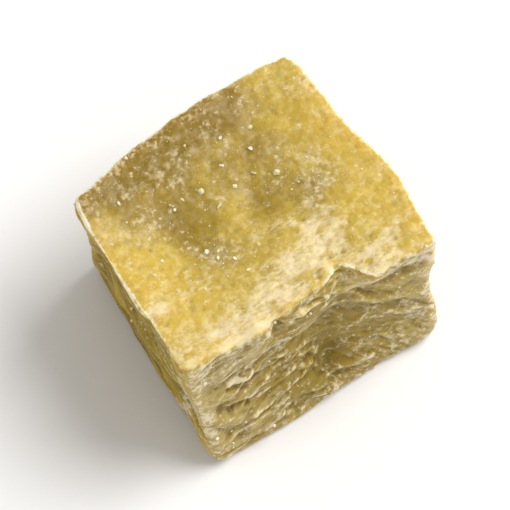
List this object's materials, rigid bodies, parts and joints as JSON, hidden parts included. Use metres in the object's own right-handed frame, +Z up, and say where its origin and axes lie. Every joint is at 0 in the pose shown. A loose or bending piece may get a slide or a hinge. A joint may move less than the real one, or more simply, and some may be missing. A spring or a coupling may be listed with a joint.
{
  "type": "candied sweet potato cube",
  "caption": "Bite-sized cube of candied sweet potato with sunken faces, layered sides and a chipped top edge, dusted with sugar.",
  "frame": {"origin": "centre of the bounding box at the base, on the surface that the cube rests on", "axes": "+Z up, +X along the front face, towards the corner beside the chipped edge, -Y out of the front face"},
  "size_m": [0.0226, 0.0206, 0.019],
  "materials": {
    "candied_flesh": "moist candied sweet potato flesh, golden with olive hollows, under a thin dull bloom of dried syrup and sugar grains"
  },
  "bodies": {
    "root": {"sweet_potato_cube": "candied_flesh"}
  },
  "joints": []
}
